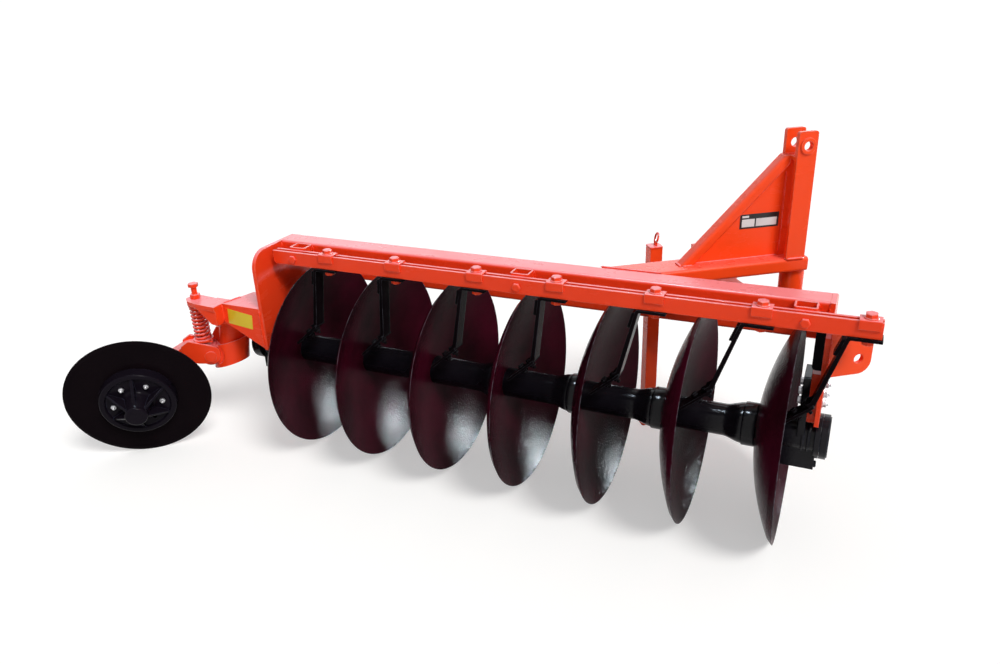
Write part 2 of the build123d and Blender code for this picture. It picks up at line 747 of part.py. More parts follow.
# Bracket over the lever, and the spring between them
box_length = 150.0
box_skew = 34.0
box_near_y = -172.0
box_far_y = -52.0
box_end_height = 62.0
head_thickness = 16.0
spring_back = 16.0
spring_radius = 27.0
spring_wire = 8.5
spring_coils = 9
spring_length = 116.5
spring_room = 10.0
spring_seat_rise = 58.0
spring_cup_height = 26.0
spring_bolt_radius = 9.0
spring_bolt_above = 44.0
nut_radius = 16.5
spring_bottom = pin_z + spring_seat_rise
spring_top = spring_bottom + spring_length
bracket_top = spring_top + spring_cup_height
swivel_radius = 57.0
swivel_wall = 6.0
swivel_height = 77.0
swivel_recess = 24.0
swivel_post_radius = 42.0
post_drop = 60.0
post_hold = 46.0
block_drop = 40.0
block_height = 38.0
swivel_lean = 8.0
swivel_heading = 39.0
swivel_slant = 16.0
swivel_slant_heading = 177.0
swivel_beyond_pin = 60.5
swivel_offset = 17.0
swivel_drop = 49.0
neck_length = 60.0
neck_half = 26.0
cheek_room = 12.0


def make_axle():
    start = back_out - 6
    axle = wheel_drum(axle_radius, start, hub_cavity - 2)
    return axle + wheel_drum(axle_radius + 10, -hub_back_length - 9, -hub_back_length - 1)


def lever_plate(points, out0, out1, rounds=()):
    """A plate along the lever, from an outline in (reach, z), between two distances outward."""
    origin = lever_plane.origin + lever_plane.z_dir * out0
    upright = Plane(origin, x_dir=lever_plane.x_dir, z_dir=lever_plane.z_dir)
    return extrude(upright * outline(points, rounds), out1 - out0)


def lever_point(reach, out, z):
    base = lever_plane.origin + lever_plane.x_dir * reach + lever_plane.z_dir * out
    return (base.X, base.Y, z)


spring_foot = lever_point(pivot_reach - spring_back, lever_mid_out, spring_bottom)


def above_spring(z):
    """The point of the spring's own axis at this height."""
    return (spring_foot[0], spring_foot[1], z)


def make_wheel_lever():
    r = pivot_reach
    end = r + cheek_round
    cheek = [
        (r - 87, pin_z - 8), (r - 40, pin_z - 20), (end, pin_z - cheek_round), (end, pin_z + 28),
        (r - 62, pin_z + 64), (r - 87, pin_z + 48),
    ]
    rounds = ((2, 27.0), (3, 24.0), (4, 4.0))
    lever = lever_plate(cheek, front_out - cheek_thickness, front_out, rounds)
    lever += lever_plate(cheek, back_out, back_out + cheek_thickness, rounds)
    z = wheel_mid[2]
    arm = [
        (-34, z - 26), (34, z - 26), (r - 42, pin_z - 10), (r - 42, pin_z + 50), (r - 78, pin_z + 46),
        (-34, z + 34),
    ]
    lever += lever_plate(arm, back_out + 6, front_out - 6, ((0, 16.0), (5, 20.0)))
    seat_low = spring_bottom - 12
    seat = [(r - 46, seat_low), (r + 14, seat_low), (r + 14, seat_low + 7), (r - 46, seat_low + 7)]
    lever += lever_plate(seat, back_out + cheek_thickness, front_out - cheek_thickness)
    lever += rod(above_spring(spring_bottom - 6), above_spring(spring_bottom), spring_radius + 6)
    lever -= wheel_drum(axle_radius + 0.01, 2 * back_out, hub_cavity)
    pin_start, pin_end = lever_point(r, back_out - 5, pin_z), lever_point(r, front_out + 5, pin_z)
    return lever - rod(pin_start, pin_end, pivot_pin_radius)


def make_pivot_pin():
    r = pivot_reach
    return rod(lever_point(r, back_out - 4, pin_z), lever_point(r, front_out + 3, pin_z), pivot_pin_radius)


def leaning(angle, heading):
    """The direction of a line that leans this far from upright, toward this heading."""
    level = sin(radians(angle))
    return (level * cos(radians(heading)), level * sin(radians(heading)), cos(radians(angle)))


swivel_up = leaning(swivel_lean, swivel_heading)
slant_up = leaning(swivel_slant, swivel_slant_heading)
swivel_foot = lever_point(pivot_reach + swivel_beyond_pin, lever_mid_out - swivel_offset, pin_z - swivel_drop)


def along_swivel(distance):
    """A point on the swivel's leaning axis."""
    return tuple(foot + distance * up for foot, up in zip(swivel_foot, swivel_up))


post_length = (bracket_top - post_drop - swivel_foot[2]) / swivel_up[2]
post_top = along_swivel(post_length)


def slanted_layer(low, high):
    """The space between two parallel planes that cut the swivel's pipe on the slant."""
    side = 8 * swivel_radius
    layer = Box(side, side, high - low, align=(Align.CENTER, Align.CENTER, Align.MIN))
    return Plane(origin=swivel_foot, z_dir=slant_up) * Pos(0, 0, low) * layer


def make_swivel():
    """A leaning pipe cut on the slant, the post in it, and a boss for the lever's pin."""
    reach = 3 * swivel_radius
    low = along_swivel(-reach)
    high = along_swivel(reach)
    swivel = rod(low, high, swivel_radius) & slanted_layer(0, swivel_height)
    inside = rod(low, high, swivel_radius - swivel_wall)
    swivel -= inside & slanted_layer(swivel_height - swivel_recess, swivel_height + 1)
    post = rod(swivel_foot, post_top, swivel_post_radius)
    swivel += post & slanted_layer(0, 2 * post_length)
    inner = front_out - cheek_thickness - 1
    far = back_out + cheek_thickness + 1
    r = pivot_reach
    room = cheek_round + cheek_room
    swivel -= rod(lever_point(r, inner, pin_z), lever_point(r, inner + reach, pin_z), room)
    swivel -= rod(lever_point(r, far - reach, pin_z), lever_point(r, far, pin_z), room)
    boss = rod(lever_point(r, far, pin_z), lever_point(r, inner, pin_z), pivot_boss_radius)
    neck_end = r + neck_length
    low, high = pin_z - neck_half, pin_z + neck_half
    swivel += boss + lever_plate([(r, low), (neck_end, low), (neck_end, high), (r, high)], far, inner)
    pin_start, pin_end = lever_point(r, far - reach, pin_z), lever_point(r, inner + reach, pin_z)
    return swivel - rod(pin_start, pin_end, pivot_pin_radius)


def make_wheel_bracket():
    """A tapered box on the left end plate, with its end cut askew."""
    plate = left_plate_x
    end = plate - box_length
    end_low = bracket_top - box_end_height
    points = [(plate, plate_foot_z + 4), (plate, bracket_top), (end, bracket_top), (end - 4, end_low)]
    plan = [(plate, box_near_y), (end - 4, box_near_y), (end - 4 + box_skew, box_far_y), (plate, box_far_y)]
    return upright_plate(points, box_near_y, box_far_y) & extrude(outline(plan), bracket_top)


def make_spring_bracket():
    """A head over the spring, with a sloping web under it and a block that takes the swivel's post."""
    end = left_plate_x - box_length
    sx, sy = spring_foot[0], spring_foot[1]
    head_corners = [
        (end, box_near_y - 38), (end - 84, box_near_y - 33), (sx - 8, sy - 32), (sx - 30, sy - 12),
        (sx - 28, sy + 16), (sx - 6, sy + 30), (end - 54, box_near_y + 34), (end, box_near_y + 12),
    ]
    start = Plane(origin=(0, 0, bracket_top - head_thickness))
    head = extrude(start * outline(head_corners, ((3, 12.0), (4, 12.0), (6, 20.0))), head_thickness)
    web_low = bracket_top - box_end_height
    head_low = bracket_top - head_thickness
    web = [(end, head_low), (sx + 40, head_low), (end - 26, web_low), (end, web_low - 4)]
    bracket = head + upright_plate(web, box_near_y - 34, box_near_y - 6)
    bracket += box(end - 26, end, box_near_y - 34, box_near_y + 12, web_low, bracket_top - 1)
    block_top = bracket_top - block_drop
    block_left, block_low = post_top[0] - post_hold, block_top - block_height
    block_end = end + box_skew
    bracket += box(block_left, block_end, box_near_y + 12, box_far_y - 6, block_low, block_top)
    bracket += box(end - 54, block_end, box_near_y, box_near_y + 40, block_top - 4, bracket_top - 1)
    bracket -= rod(above_spring(0), above_spring(spring_top), spring_radius + spring_room)
    bracket -= make_wheel_bracket()
    bracket -= rod(swivel_foot, along_swivel(post_length), swivel_post_radius)
    return bracket - rod(above_spring(0), above_spring(2 * bracket_top), spring_bolt_radius + 0.05)


def make_spring_bolt():
    """The adjusting bolt: head, shank, lock nut and the cup on top of the spring."""
    bolt_top = bracket_top + spring_bolt_above
    bolt = rod(above_spring(spring_bottom + 2), above_spring(bolt_top), spring_bolt_radius)
    head = extrude(RegularPolygon(nut_radius, 6), 11)
    nut = extrude(RegularPolygon(nut_radius, 6), 15)
    bolt += Pos(*above_spring(bolt_top - 3)) * head
    bolt += Pos(*above_spring(bracket_top + 0.05)) * nut
    cup_top = bracket_top - head_thickness - 0.05
    return bolt + rod(above_spring(spring_top), above_spring(cup_top), spring_radius + 1)


def make_spring():
    """The spring as a ribbed sleeve, one rounded rib for each coil."""
    height = spring_top - spring_bottom
    pitch = height / spring_coils
    inner = spring_radius - spring_wire
    root = inner + spring_wire / 2
    lines = [
        Line((root, height), (inner, height)), Line((inner, height), (inner, 0)), Line((inner, 0), (root, 0)),
    ]
    for i in range(spring_coils):
        low, high = i * pitch, (i + 1) * pitch
        lines.append(ThreePointArc((root, low), (spring_radius, (low + high) / 2), (root, high)))
    return Pos(*spring_foot) * revolve(Plane.XZ * make_face(lines), Axis.Z)


right_ear_x = right_plate_x - pad_thickness - bearing_ear_thickness
left_ear_x = left_plate_x - bearing_ear_thickness


def make_gang_beam():
    return long_tube(
        left_inner_x, right_plate_x, gang_beam_near_y, gang_beam_bottom, gang_beam_width, gang_beam_height,
    )


def make_front_beam():
    return long_tube(
        left_inner_x, right_plate_x, front_beam_y, front_beam_bottom, front_beam_size, front_beam_size,
    )


parts = {
    "discs": Compound([make_disc(rim_x) for rim_x in rim_xs]),
    "spools": make_spools(),
    "gang_shaft": make_shaft(),
    "right_bearing": make_bearing(right_bearing_x, right_ring_x, 1, right_ear_x),
    "left_bearing": make_bearing(left_bearing_x, left_ring_x, -1, left_ear_x),
    "bearing_caps": make_caps(),
    "gang_beam": make_gang_beam(),
    "front_beam": make_front_beam(),
    "left_end_plate": make_left_plate(),
    "right_end_plate": make_right_plate(),
    "end_strap": make_end_strap(),
    "scraper_bar": make_scraper_bar(),
    "bar_brackets": make_bar_brackets(),
    "bar_clips": make_clips(),
    "scrapers": make_scrapers(),
    "hitch_arm": make_hitch_arm(),
    "hitch_post": make_post(),
    "mast": make_mast(),
    "mast_gusset": make_gusset(),
    "mast_brace": make_brace(),
    "right_link_lug": make_right_lug(),
    "left_link_lug": make_left_lug(),
    "left_link_arm": make_left_link_arm(),
    "stand_sleeve": make_stand_sleeve(),
    "stand_leg": make_stand_leg(),
    "furrow_wheel": make_wheel(),
    "wheel_hub": make_hub(),
    "wheel_axle": make_axle(),
    "wheel_lever": make_wheel_lever(),
    "lever_pin": make_pivot_pin(),
    "swivel": make_swivel(),
    "wheel_bracket": make_wheel_bracket(),
    "spring_bracket": make_spring_bracket(),
    "spring": make_spring(),
    "spring_bolt": make_spring_bolt(),
}

# Everything is moved so that the origin is on the floor under the middle of the machine
boxes = [shape.bounding_box() for shape in parts.values()]
middle_x = (min(b.min.X for b in boxes) + max(b.max.X for b in boxes)) / 2
middle_y = (min(b.min.Y for b in boxes) + max(b.max.Y for b in boxes)) / 2
shift = (-middle_x, -middle_y, 0)

os.makedirs("parts", exist_ok=True)
for name, shape in parts.items():
    export_step(Pos(*shift) * shape, f"parts/{name}.step")
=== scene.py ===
import json
import math

import bmesh
import bpy
import numpy as np
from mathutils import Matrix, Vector


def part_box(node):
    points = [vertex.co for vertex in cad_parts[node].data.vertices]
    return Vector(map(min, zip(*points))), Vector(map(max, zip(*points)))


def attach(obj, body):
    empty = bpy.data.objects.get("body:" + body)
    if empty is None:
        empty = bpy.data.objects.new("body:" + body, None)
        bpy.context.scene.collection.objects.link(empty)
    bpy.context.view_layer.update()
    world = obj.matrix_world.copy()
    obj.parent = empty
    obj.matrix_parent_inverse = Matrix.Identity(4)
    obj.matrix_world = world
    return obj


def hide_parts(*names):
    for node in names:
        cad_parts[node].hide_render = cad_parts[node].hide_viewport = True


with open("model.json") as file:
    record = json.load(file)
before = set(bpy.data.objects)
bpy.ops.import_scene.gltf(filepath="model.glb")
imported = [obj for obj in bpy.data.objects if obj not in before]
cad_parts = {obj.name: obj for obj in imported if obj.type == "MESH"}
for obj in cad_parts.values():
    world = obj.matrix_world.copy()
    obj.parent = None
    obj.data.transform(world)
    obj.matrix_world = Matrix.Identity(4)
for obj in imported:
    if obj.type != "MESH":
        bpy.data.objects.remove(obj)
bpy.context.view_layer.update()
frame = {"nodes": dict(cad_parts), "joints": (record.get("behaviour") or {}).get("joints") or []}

# Orange paint on the welded frame
# Thick glossy enamel sprayed over mill-scaled steel tube and plate. It has a faint orange peel and
# small changes of depth. Its rounded edges are paler, a painted highlight with some wear, and the
# faces that look up carry a painted pale sky sheen.
nodes = frame["nodes"]
gang_joint = next(joint for joint in frame["joints"] if joint["name"] == "gang_turn")
gang_axis = np.array(gang_joint["pos_m"], float)
MM = 0.001


def row(points):
    """Points in millimetres from the middle of the gang on the floor, as places in metres."""
    return np.asarray(points, float) * MM + np.array([gang_axis[0], gang_axis[1], 0.0])


def new_group(name, inputs, outputs):
    """A shader node group: each input socket is (name, kind, value), and each output (name, kind)."""
    group = bpy.data.node_groups.new(name, "ShaderNodeTree")
    for socket, kind, value in inputs:
        group.interface.new_socket(socket, in_out="INPUT", socket_type=kind).default_value = value
    for socket, kind in outputs:
        group.interface.new_socket(socket, in_out="OUTPUT", socket_type=kind)
    return group, group.nodes.new("NodeGroupInput"), group.nodes.new("NodeGroupOutput")


def node(tree, kind, links=(), **values):
    """A shader node: values set by socket or property name, and links as (socket name or index, output)."""
    made = tree.nodes.new(kind)
    for key, value in values.items():
        name = key.replace("_", " ")
        if name in made.inputs:
            made.inputs[name].default_value = value
        else:
            setattr(made, key, value)
    for socket, output in links:
        tree.links.new(output, made.inputs[socket])
    return made


def noise(tree, vector, scale, detail=3.0, roughness=0.55, stretch=(1, 1, 1)):
    """Noise on object coordinates, stretched along the axes, as a value from 0 to 1."""
    spread = node(tree, "ShaderNodeMapping", [("Vector", vector)], Scale=stretch)
    made = node(tree, "ShaderNodeTexNoise", [("Vector", spread.outputs[0])], Scale=scale, Detail=detail)
    made.inputs["Roughness"].default_value = roughness
    return made.outputs["Fac"]


def steps(tree, value, low, high, out_low=0.0, out_high=1.0):
    """The value spread from low..high to out_low..out_high, and held at both ends."""
    made = node(tree, "ShaderNodeMapRange", [("Value", value)], From_Min=low, From_Max=high)
    made.inputs["To Min"].default_value = out_low
    made.inputs["To Max"].default_value = out_high
    return made.outputs[0]


def times(tree, a, b):
    """Two values multiplied; b may be a plain number."""
    made = node(tree, "ShaderNodeMath", [(0, a)], operation="MULTIPLY")
    if isinstance(b, (int, float)):
        made.inputs[1].default_value = b
    else:
        tree.links.new(b, made.inputs[1])
    return made.outputs[0]


def mixed(tree, factor, a, b):
    """Colour a turning to colour b by the factor; a and b are outputs or plain colours."""
    made = node(tree, "ShaderNodeMix", data_type="RGBA")
    for socket, value in ((0, factor), (6, a), (7, b)):
        if isinstance(value, bpy.types.NodeSocket):
            tree.links.new(value, made.inputs[socket])
        else:
            made.inputs[socket].default_value = value
    return made.outputs[2]


def make_paint_skin():
    """Sprayed paint: depth changes, painted sky sheen on tops, dust, edges paled by painted highlight and
    wear, a fine peel.
    """
    group, given, result = new_group(
        "sprayed_paint",
        [("Colour", "NodeSocketColor", (1, 1, 1, 1)), ("Deep Colour", "NodeSocketColor", (0, 0, 0, 1)),
         ("Edge Colour", "NodeSocketColor", (1, 1, 1, 1)), ("Dust And Sheen Colour", "NodeSocketColor", (1, 1, 1, 1)),
         ("Depth", "NodeSocketFloat", 0.3), ("Edge", "NodeSocketFloat", 0.3),
         ("Dust", "NodeSocketFloat", 0.1), ("Fade", "NodeSocketFloat", 0.0),
         ("Edge Radius", "NodeSocketFloat", 0.003), ("Roughness", "NodeSocketFloat", 0.25),
         ("Grain Scale", "NodeSocketFloat", 300.0)],
        [("Colour", "NodeSocketColor"), ("Roughness", "NodeSocketFloat"), ("Height", "NodeSocketFloat"),
         ("Normal", "NodeSocketVector")],
    )
    place = node(group, "ShaderNodeTexCoord").outputs["Object"]
    cloud = noise(group, place, 3.5, 4.0)
    depth = times(group, steps(group, cloud, 0.35, 0.7), given.outputs["Depth"])
    colour = mixed(group, depth, given.outputs["Colour"], given.outputs["Deep Colour"])
    bevel = node(group, "ShaderNodeBevel", [("Radius", given.outputs["Edge Radius"])], samples=6)
    geometry = node(group, "ShaderNodeNewGeometry")
    dot = node(
        group, "ShaderNodeVectorMath", [(0, bevel.outputs[0]), (1, geometry.outputs["Normal"])],
        operation="DOT_PRODUCT",
    )
    # Painted highlight with some wear: where the rounded edge's normal leaves the face's, in patches, the
    # colour turns to the pale edge colour.
    edge = steps(group, dot.outputs["Value"], 0.995, 0.85)
    patchy = steps(group, noise(group, place, 40.0, 5.0, 0.7), 0.38, 0.6)
    edge = times(group, times(group, edge, patchy), given.outputs["Edge"])
    upright = node(group, "ShaderNodeSeparateXYZ", [(0, bevel.outputs[0])])
    # Painted sheen: faces that look up turn towards the pale dust colour, standing in for the sky's
    # reflection on the tops.
    facing_up = steps(group, upright.outputs["Z"], 0.35, 0.98)
    painted_sheen = times(group, facing_up, steps(group, noise(group, place, 2.2, 3.0), 0.3, 0.7, 0.7, 1.0))
    colour = mixed(group, times(group, painted_sheen, given.outputs["Fade"]), colour, given.outputs["Dust And Sheen Colour"])
    colour = mixed(group, edge, colour, given.outputs["Edge Colour"])
    settled = times(group, facing_up, steps(group, noise(group, place, 18.0, 8.0, 0.7), 0.35, 0.75))
    dust = times(group, settled, given.outputs["Dust"])
    colour = mixed(group, dust, colour, given.outputs["Dust And Sheen Colour"])
    group.links.new(colour, result.inputs["Colour"])
    smear = noise(group, place, 9.0, 6.0, 0.6, (1, 1, 2.5))
    rough = node(group, "ShaderNodeMath", [(0, given.outputs["Roughness"])], operation="ADD")
    group.links.new(steps(group, smear, 0.3, 0.75, -0.06, 0.1), rough.inputs[1])
    rough = node(
        group, "ShaderNodeMath", [(0, rough.outputs[0]), (1, dust)], operation="ADD", use_clamp=True,
    )
    group.links.new(rough.outputs[0], result.inputs["Roughness"])
    peel_noise = node(
        group, "ShaderNodeTexNoise",
        [("Vector", place), ("Scale", given.outputs["Grain Scale"])], Detail=2.0,
    )
    group.links.new(peel_noise.outputs["Fac"], result.inputs["Height"])
    group.links.new(bevel.outputs[0], result.inputs["Normal"])
    return group


paint_skin = make_paint_skin()


def painted(name, colour, deep, edge, dust, specular, peel, coat=0.0, metallic=0.0, **amounts):
    """A finish: the sprayed-paint skin, with its own colours and amounts, under an optional glossy coat."""
    material = bpy.data.materials.new(name)
    material.use_nodes = True
    tree = material.node_tree
    shader = tree.nodes["Principled BSDF"]
    skin = tree.nodes.new("ShaderNodeGroup")
    skin.node_tree = paint_skin
    colours = {"Colour": colour, "Deep Colour": deep, "Edge Colour": edge, "Dust And Sheen Colour": dust}
    for socket, value in colours.items():
        skin.inputs[socket].default_value = (*value, 1)
    for key, value in amounts.items():
        skin.inputs[key.replace("_", " ")].default_value = value
    bump = node(
        tree, "ShaderNodeBump", [("Height", skin.outputs["Height"]), ("Normal", skin.outputs["Normal"])],
    )
    bump.inputs["Strength"].default_value = peel
    bump.inputs["Distance"].default_value = 0.001
    tree.links.new(skin.outputs["Colour"], shader.inputs["Base Color"])
    tree.links.new(skin.outputs["Roughness"], shader.inputs["Roughness"])
    tree.links.new(bump.outputs[0], shader.inputs["Normal"])
    shader.inputs["Specular IOR Level"].default_value = specular
    shader.inputs["Metallic"].default_value = metallic
    shader.inputs["Coat Weight"].default_value = coat
    shader.inputs["Coat Roughness"].default_value = 0.08
    return material


orange_red, orange_deep = (0.92, 0.057, 0.013), (0.78, 0.036, 0.008)
# The pale edge colour is a painted highlight with some wear; the pale pink is a dust colour and also the
# painted sky sheen on the tops.
edge_highlight_and_wear, dust_and_sheen_pale = (1.0, 0.34, 0.24), (0.98, 0.43, 0.50)
# The frame's orange carries a strong painted sky sheen on its tops and painted highlights on its edges.
orange = painted(
    "orange_enamel", orange_red, orange_deep, edge_highlight_and_wear, dust_and_sheen_pale,
    0.16, 0.12, Depth=0.4, Edge=0.6, Dust=0.1, Fade=0.66, Edge_Radius=0.003, Roughness=0.24,
    Grain_Scale=420.0,
)
# The hitch's orange is a little brighter and carries only a faint painted sky sheen on its tops.
orange_hitch = painted(
    "orange_hitch_enamel", (0.95, 0.074, 0.012), (0.84, 0.048, 0.009), edge_highlight_and_wear, dust_and_sheen_pale,
    0.2, 0.12, Depth=0.3, Edge=0.5, Dust=0.1, Fade=0.1, Edge_Radius=0.003, Roughness=0.22,
    Grain_Scale=420.0,
)


def repaint(material, *names):
    """Gives these nodes of the frame a finish."""
    for name in names:
        nodes[name].material_slots[0].material = material


repaint(
    orange, "gang_beam", "front_beam", "left_end_plate", "right_end_plate", "scraper_bar", "bar_brackets",
    "bar_clips", "wheel_lever", "lever_pin", "swivel", "wheel_bracket", "spring_bracket", "spring_bolt",
)
repaint(
    orange_hitch, "hitch_arm", "hitch_post", "mast", "mast_gusset", "mast_brace", "right_link_lug",
    "left_link_lug", "left_link_arm", "stand_sleeve", "stand_leg",
)

# Discs
# Seven dished blades of 610 mm pressed steel plate, ground to an edge on the back, and dipped in
# black lacquer with a wine-red depth. They turn with the gang.
disc_radius, disc_thickness, disc_concavity, disc_spacing = 305.0, 6.0, 80.0, 247.5
disc_bevel, disc_edge, disc_hole = 15.0, 1.5, 28.0
disc_count = 7
hollow_radius = (disc_radius ** 2 + disc_concavity ** 2) / (2 * disc_concavity)
back_radius = hollow_radius + disc_thickness
gang_height = gang_axis[2] / MM


def ringed(rings, closed=False):
    """Quads from each ring of points to the next, with capped ends, or the last joined to the first."""
    count, around = rings.shape[:2]
    index = np.arange(count * around).reshape(count, around)
    following = np.roll(index, -1, axis=1)
    last = count if closed else count - 1
    up = np.roll(index, -1, axis=0)
    up_following = np.roll(following, -1, axis=0)
    quads = np.stack([index, following, up_following, up], axis=-1)[:last].reshape(-1, 4)
    caps = [] if closed else [index[0][::-1], index[-1]]
    return rings.reshape(-1, 3), quads, caps


def piece(name, parts, material, body, sharp=35.0):
    """One mesh from several ringed surfaces, normals outward and sharp edges kept, riding on a body."""
    points, faces, start = [], [], 0
    for part_points, quads, caps in parts:
        points.append(part_points)
        faces += (quads + start).tolist() + [(cap + start).tolist() for cap in caps]
        start += len(part_points)
    mesh = bpy.data.meshes.new(name)
    mesh.from_pydata(row(np.concatenate(points)).tolist(), [], faces)
    work = bmesh.new()
    work.from_mesh(mesh)
    bmesh.ops.recalc_face_normals(work, faces=work.faces)
    work.to_mesh(mesh)
    work.free()
    mesh.shade_smooth()
    mesh.set_sharp_from_angle(angle=math.radians(sharp))
    mesh.materials.append(material)
    made = bpy.data.objects.new(name, mesh)
    bpy.context.scene.collection.objects.link(made)
    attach(made, body)
    return made


def turned(profile, centre, axis, around=64, closed=False):
    """A profile of (distance along the axis, radius) carried round the axis through the centre."""
    profile = np.asarray(profile, float)
    direction = np.asarray(axis, float) / np.linalg.norm(axis)
    helper = np.array([0.0, 0.0, 1.0]) if abs(direction[2]) < 0.9 else np.array([1.0, 0.0, 0.0])
    side = np.cross(helper, direction)
    side /= np.linalg.norm(side)
    other = np.cross(direction, side)
    angle = np.linspace(0, 2 * np.pi, around, endpoint=False)
    spoke = np.cos(angle)[:, None] * side + np.sin(angle)[:, None] * other
    rings = profile[:, 0, None, None] * direction + profile[:, 1, None, None] * spoke
    return ringed(rings + np.asarray(centre, float), closed)


def disc_profile():
    """The hollow's arc from the shaft hole to the rim, the ground edge, and the back's arc home again."""
    out = np.linspace(disc_hole, disc_radius, 40)
    front_curve = hollow_radius - np.sqrt(hollow_radius ** 2 - out ** 2) - disc_concavity
    home = np.linspace(disc_radius - disc_bevel, disc_hole, 36)
    back_curve = back_radius - np.sqrt(back_radius ** 2 - home ** 2) - disc_concavity - disc_thickness
    edge = np.array([[-disc_edge, disc_radius - 0.2]])
    front_side, back_side = np.stack([front_curve, out], axis=1), np.stack([back_curve, home], axis=1)
    return np.concatenate([front_side, edge, back_side])


# The bluish grey edge colour paints a highlight along the discs' rims.
black_lacquer = painted(
    "black_lacquer",
    (0.055, 0.0035, 0.013), (0.012, 0.0022, 0.0045), (0.16, 0.17, 0.20), (0.10, 0.08, 0.07),
    0.014, 1.0, Depth=1.0, Edge=1.0, Dust=0.0, Edge_Radius=0.0025, Roughness=0.11, Grain_Scale=190.0,
)
# Its bluish edge colour is a painted highlight along the edges.
black_gloss = painted(
    "black_gloss",
    (0.006, 0.0035, 0.0048), (0.003, 0.002, 0.003), (0.10, 0.11, 0.13), (0.08, 0.06, 0.06),
    0.012, 0.3, Depth=0.8, Edge=0.7, Dust=0.02, Edge_Radius=0.002, Roughness=0.16, Grain_Scale=220.0,
)
rims = [disc_spacing * (number - (disc_count - 1) / 2) for number in range(disc_count)]
blades = [turned(disc_profile(), (x, 0, gang_height), (1, 0, 0), 160, closed=True) for x in rims]
discs = piece("disc_blades", blades, black_lacquer, "gang", sharp=25.0)
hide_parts("discs")

# Spools, shaft and bearings
# Waisted iron castings between the discs, a square shaft with a nut at each end, and a housing at
# each end of the gang, bolted through its ear and the end plate. All are brushed with thick black gloss.
# The bluish edge colour is a painted highlight along the castings' edges.
black_casting = painted(
    "black_casting", (0.007, 0.006, 0.009), (0.003, 0.003, 0.005), (0.05, 0.06, 0.09), (0.10, 0.08, 0.07),
    0.16, 0.3, Depth=0.6, Edge=0.5, Dust=0.03, Edge_Radius=0.003, Roughness=0.17, Grain_Scale=130.0,
)
# The paler edge colour is a painted highlight with some wear.
zinc = painted(
    "zinc_plate", (0.62, 0.62, 0.64), (0.42, 0.43, 0.46), (0.85, 0.85, 0.86), (0.5, 0.42, 0.3),
    0.5, 0.08, metallic=1.0, Depth=0.6, Edge=0.4, Dust=0.15, Edge_Radius=0.0006, Roughness=0.3,
    Grain_Scale=900.0,
)
repaint(
    black_casting, "gang_shaft", "right_bearing", "left_bearing", "bearing_caps", "wheel_axle",
)
repaint(black_gloss, "furrow_wheel", "scrapers", "end_strap")
waist_radius, bell_radius, collar_length, bell_length = 44.0, 60.0, 34.0, 52.0
bore_radius, journal_radius = 20.0, 33.9
right_shoulder, right_end, left_end = 716.5, 830.0, -1000.0


def curve_depth(radius, out):
    """How far a dish of this radius has curved from its pole at a distance out from the axis."""
    return radius - math.sqrt(radius ** 2 - out ** 2)


def spool_profile(rim_x):
    """From one disc's hollow to the next disc's back: waist, smooth flare to the bell, collar and lip."""
    start = rim_x - disc_concavity + curve_depth(hollow_radius, waist_radius)
    back = rim_x + disc_spacing - disc_concavity - disc_thickness
    end = back + curve_depth(back_radius, bell_radius - 10)
    collar = back - collar_length
    share = np.linspace(0, 1, 22)
    flare = waist_radius + (bell_radius - 4 - waist_radius) * (share ** 2) * (3 - 2 * share)
    along = collar - bell_length + bell_length * share
    edge = [(collar, bell_radius - 3), (collar + 1, bell_radius - 0.8), (collar + 3, bell_radius)]
    lip = [(end - 3, bell_radius), (end - 0.8, bell_radius - 1), (end, bell_radius - 3)]
    waist = [(start, bore_radius), (start, waist_radius)]
    return [*waist, *zip(along, flare), *edge, *lip, (end, bore_radius)]


right_start = rims[-1] - disc_concavity + curve_depth(hollow_radius, waist_radius)
right_journal = [
    (right_start, bore_radius), (right_start, waist_radius - 1), (right_start + 1, waist_radius),
    (right_shoulder - 1, waist_radius), (right_shoulder, waist_radius - 1),
    (right_shoulder, journal_radius), (right_end, journal_radius), (right_end, bore_radius),
]
left_start = rims[0] - disc_concavity - disc_thickness
left_journal = [
    (left_start, bore_radius), (left_start, journal_radius),
    (left_end, journal_radius), (left_end, bore_radius),
]
spool_profiles = [*map(spool_profile, rims[:-1]), right_journal, left_journal]
spool_surfaces = [turned(line, (0, 0, gang_height), (1, 0, 0), 72, closed=True) for line in spool_profiles]
spools = piece("cast_spools", spool_surfaces, black_casting, "gang", sharp=40.0)
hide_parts("spools")


def hex_head(seat, direction, corner, height, washer=0.0, stub=0.0):
    """A hexagon head or nut on its seat: washer, chamfered hexagon, and the thread's end if it shows."""
    chamfer = 0.12 * corner
    parts = []
    base = 0.0
    if washer:
        base = 2.5
        flat_ring = [(-0.5, washer - 0.5), (1.8, washer), (base, washer - 0.8)]
        parts.append(turned(flat_ring, seat, direction, 28))
    top = base + height
    hexagon = [(base - 0.5, corner), (top - chamfer, corner), (top, corner - 1.6 * chamfer)]
    parts.append(turned(hexagon, seat, direction, 6))
    if stub:
        shank = 0.5 * corner
        thread = [(top - 1, shank), (top + stub - 1.5, shank), (top + stub, shank - 1.5)]
        parts.append(turned(thread, seat, direction, 20))
    return parts


plate_outer, ear_bolt_reach, ear_bolt_rise = 812.0, 27.0, (139.0, 111.0)


def bearing_bolts(head_seat, nut_seat):
    """Four bolts through an ear and its plate: heads on one seat, nuts with thread ends on the other."""
    parts = []
    for y in (-ear_bolt_reach, ear_bolt_reach):
        for rise in ear_bolt_rise:
            z = gang_height + rise
            parts += hex_head((head_seat, y, z), (-1, 0, 0), 10.0, 8.0, washer=12.0)
            parts += hex_head((nut_seat, y, z), (1, 0, 0), 9.5, 8.0, washer=12.0, stub=5.0)
    return parts


